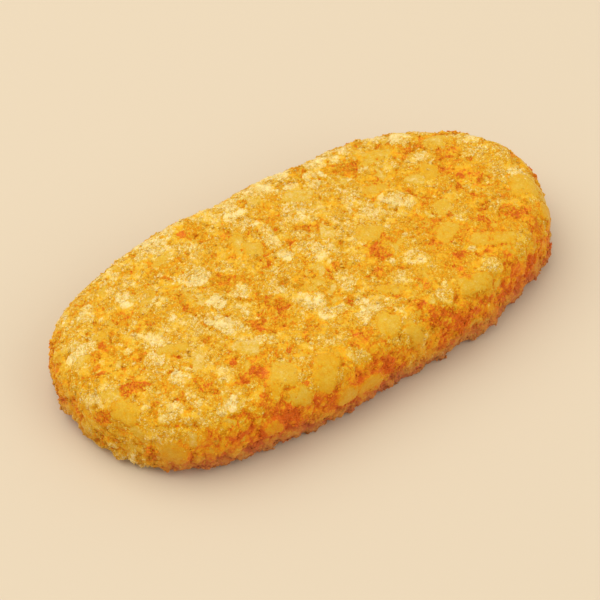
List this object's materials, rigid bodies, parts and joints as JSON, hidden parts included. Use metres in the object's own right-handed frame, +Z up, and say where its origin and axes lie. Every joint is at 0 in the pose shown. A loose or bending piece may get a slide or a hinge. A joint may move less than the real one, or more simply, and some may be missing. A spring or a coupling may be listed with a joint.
{
  "type": "potato rosti",
  "caption": "Oblong flat patty of pressed, fried potato bits with rounded ends and shoulders and a rough golden crust.",
  "frame": {"origin": "middle of the patty's outline, on the flat that it rests on", "axes": "+X along the patty's length towards its slightly narrower end, +Y across its width, +Z up through its upper face"},
  "size_m": [0.1166, 0.0596, 0.0149],
  "materials": {
    "fried_potato": "golden fried potato crust, rough with a slight oily sheen"
  },
  "bodies": {
    "root": {"rosti": "fried_potato"}
  },
  "joints": []
}
